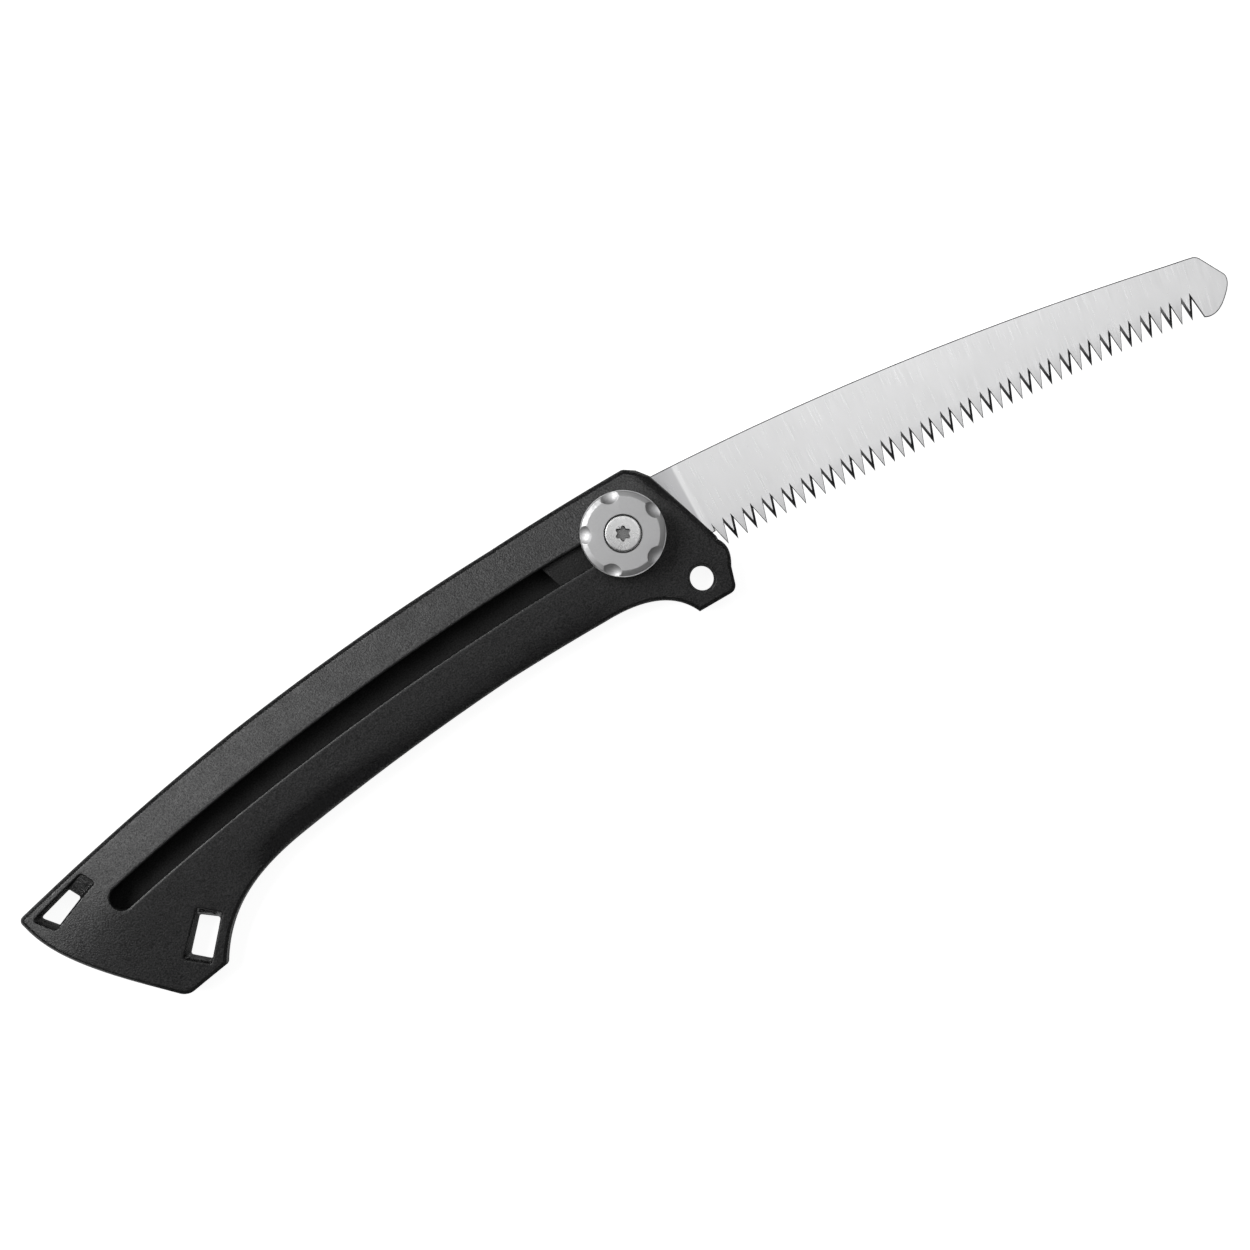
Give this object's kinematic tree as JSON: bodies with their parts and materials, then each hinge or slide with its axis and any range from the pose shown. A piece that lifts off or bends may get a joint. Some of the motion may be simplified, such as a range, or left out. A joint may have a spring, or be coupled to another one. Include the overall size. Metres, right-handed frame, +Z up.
{
  "type": "retractable pruning saw",
  "caption": "Hand pruning saw with a curved blade that slides out of a slotted two-shell handle and is clamped by a round knob.",
  "frame": {"origin": "on the axis of the lock knob, in the plane that the saw rests on when it lies on its far shell, with the blade fully out", "axes": "+X along the slide at the knob, towards the blade's tip; +Y towards the blade's back and the handle's spine; +Z up, out of the near shell that holds the slot"},
  "size_m": [0.3954, 0.0693, 0.0242],
  "materials": {
    "handle_nylon": "fine-textured moulded black nylon",
    "shoe_acetal": "smooth black acetal",
    "blade_steel": "satin plated saw steel",
    "knob_metal": "satin plated zinc casting",
    "bright_steel": "bright zinc-plated steel",
    "screw_steel": "blackened steel"
  },
  "bodies": {
    "handle": {"near_shell": "handle_nylon", "far_shell": "handle_nylon", "shell_screw_1": "screw_steel", "shell_screw_2": "screw_steel", "shell_screw_3": "screw_steel", "shell_screw_4": "screw_steel", "shell_screw_5": "screw_steel", "shell_screw_6": "screw_steel", "shell_screw_7": "screw_steel", "shell_screw_8": "screw_steel"},
    "blade_carriage": {"saw_blade": "blade_steel", "threaded_bush": "bright_steel", "near_slide_shoe": "shoe_acetal", "far_slide_shoe": "shoe_acetal", "shoe_rivet_rear": "bright_steel", "shoe_rivet_front": "bright_steel"},
    "knob_washers": {"knob_washer": "bright_steel", "wave_washer": "bright_steel"},
    "knob": {"lock_knob": "knob_metal", "clamp_screw": "bright_steel"}
  },
  "joints": [
    {"name": "blade_slide", "type": "hinge", "parent": "handle", "child": "blade_carriage", "pos_m": [0, -0.833, 0], "axis": [0, 0, 1], "range_deg": [0, 11.9]},
    {"name": "knob_lift", "type": "slide", "parent": "blade_carriage", "child": "knob_washers", "axis": [0, 0, 1], "range_m": [0, 0.00075]},
    {"name": "knob_turn", "type": "hinge", "parent": "knob_washers", "child": "knob", "pos_m": [0, 0, 0], "axis": [0, 0, 1], "range_deg": [0, 270]}
  ],
  "couplings": [
    {"joint": "knob_turn", "follows": "knob_lift", "rad_per_m": 6283.2}
  ]
}
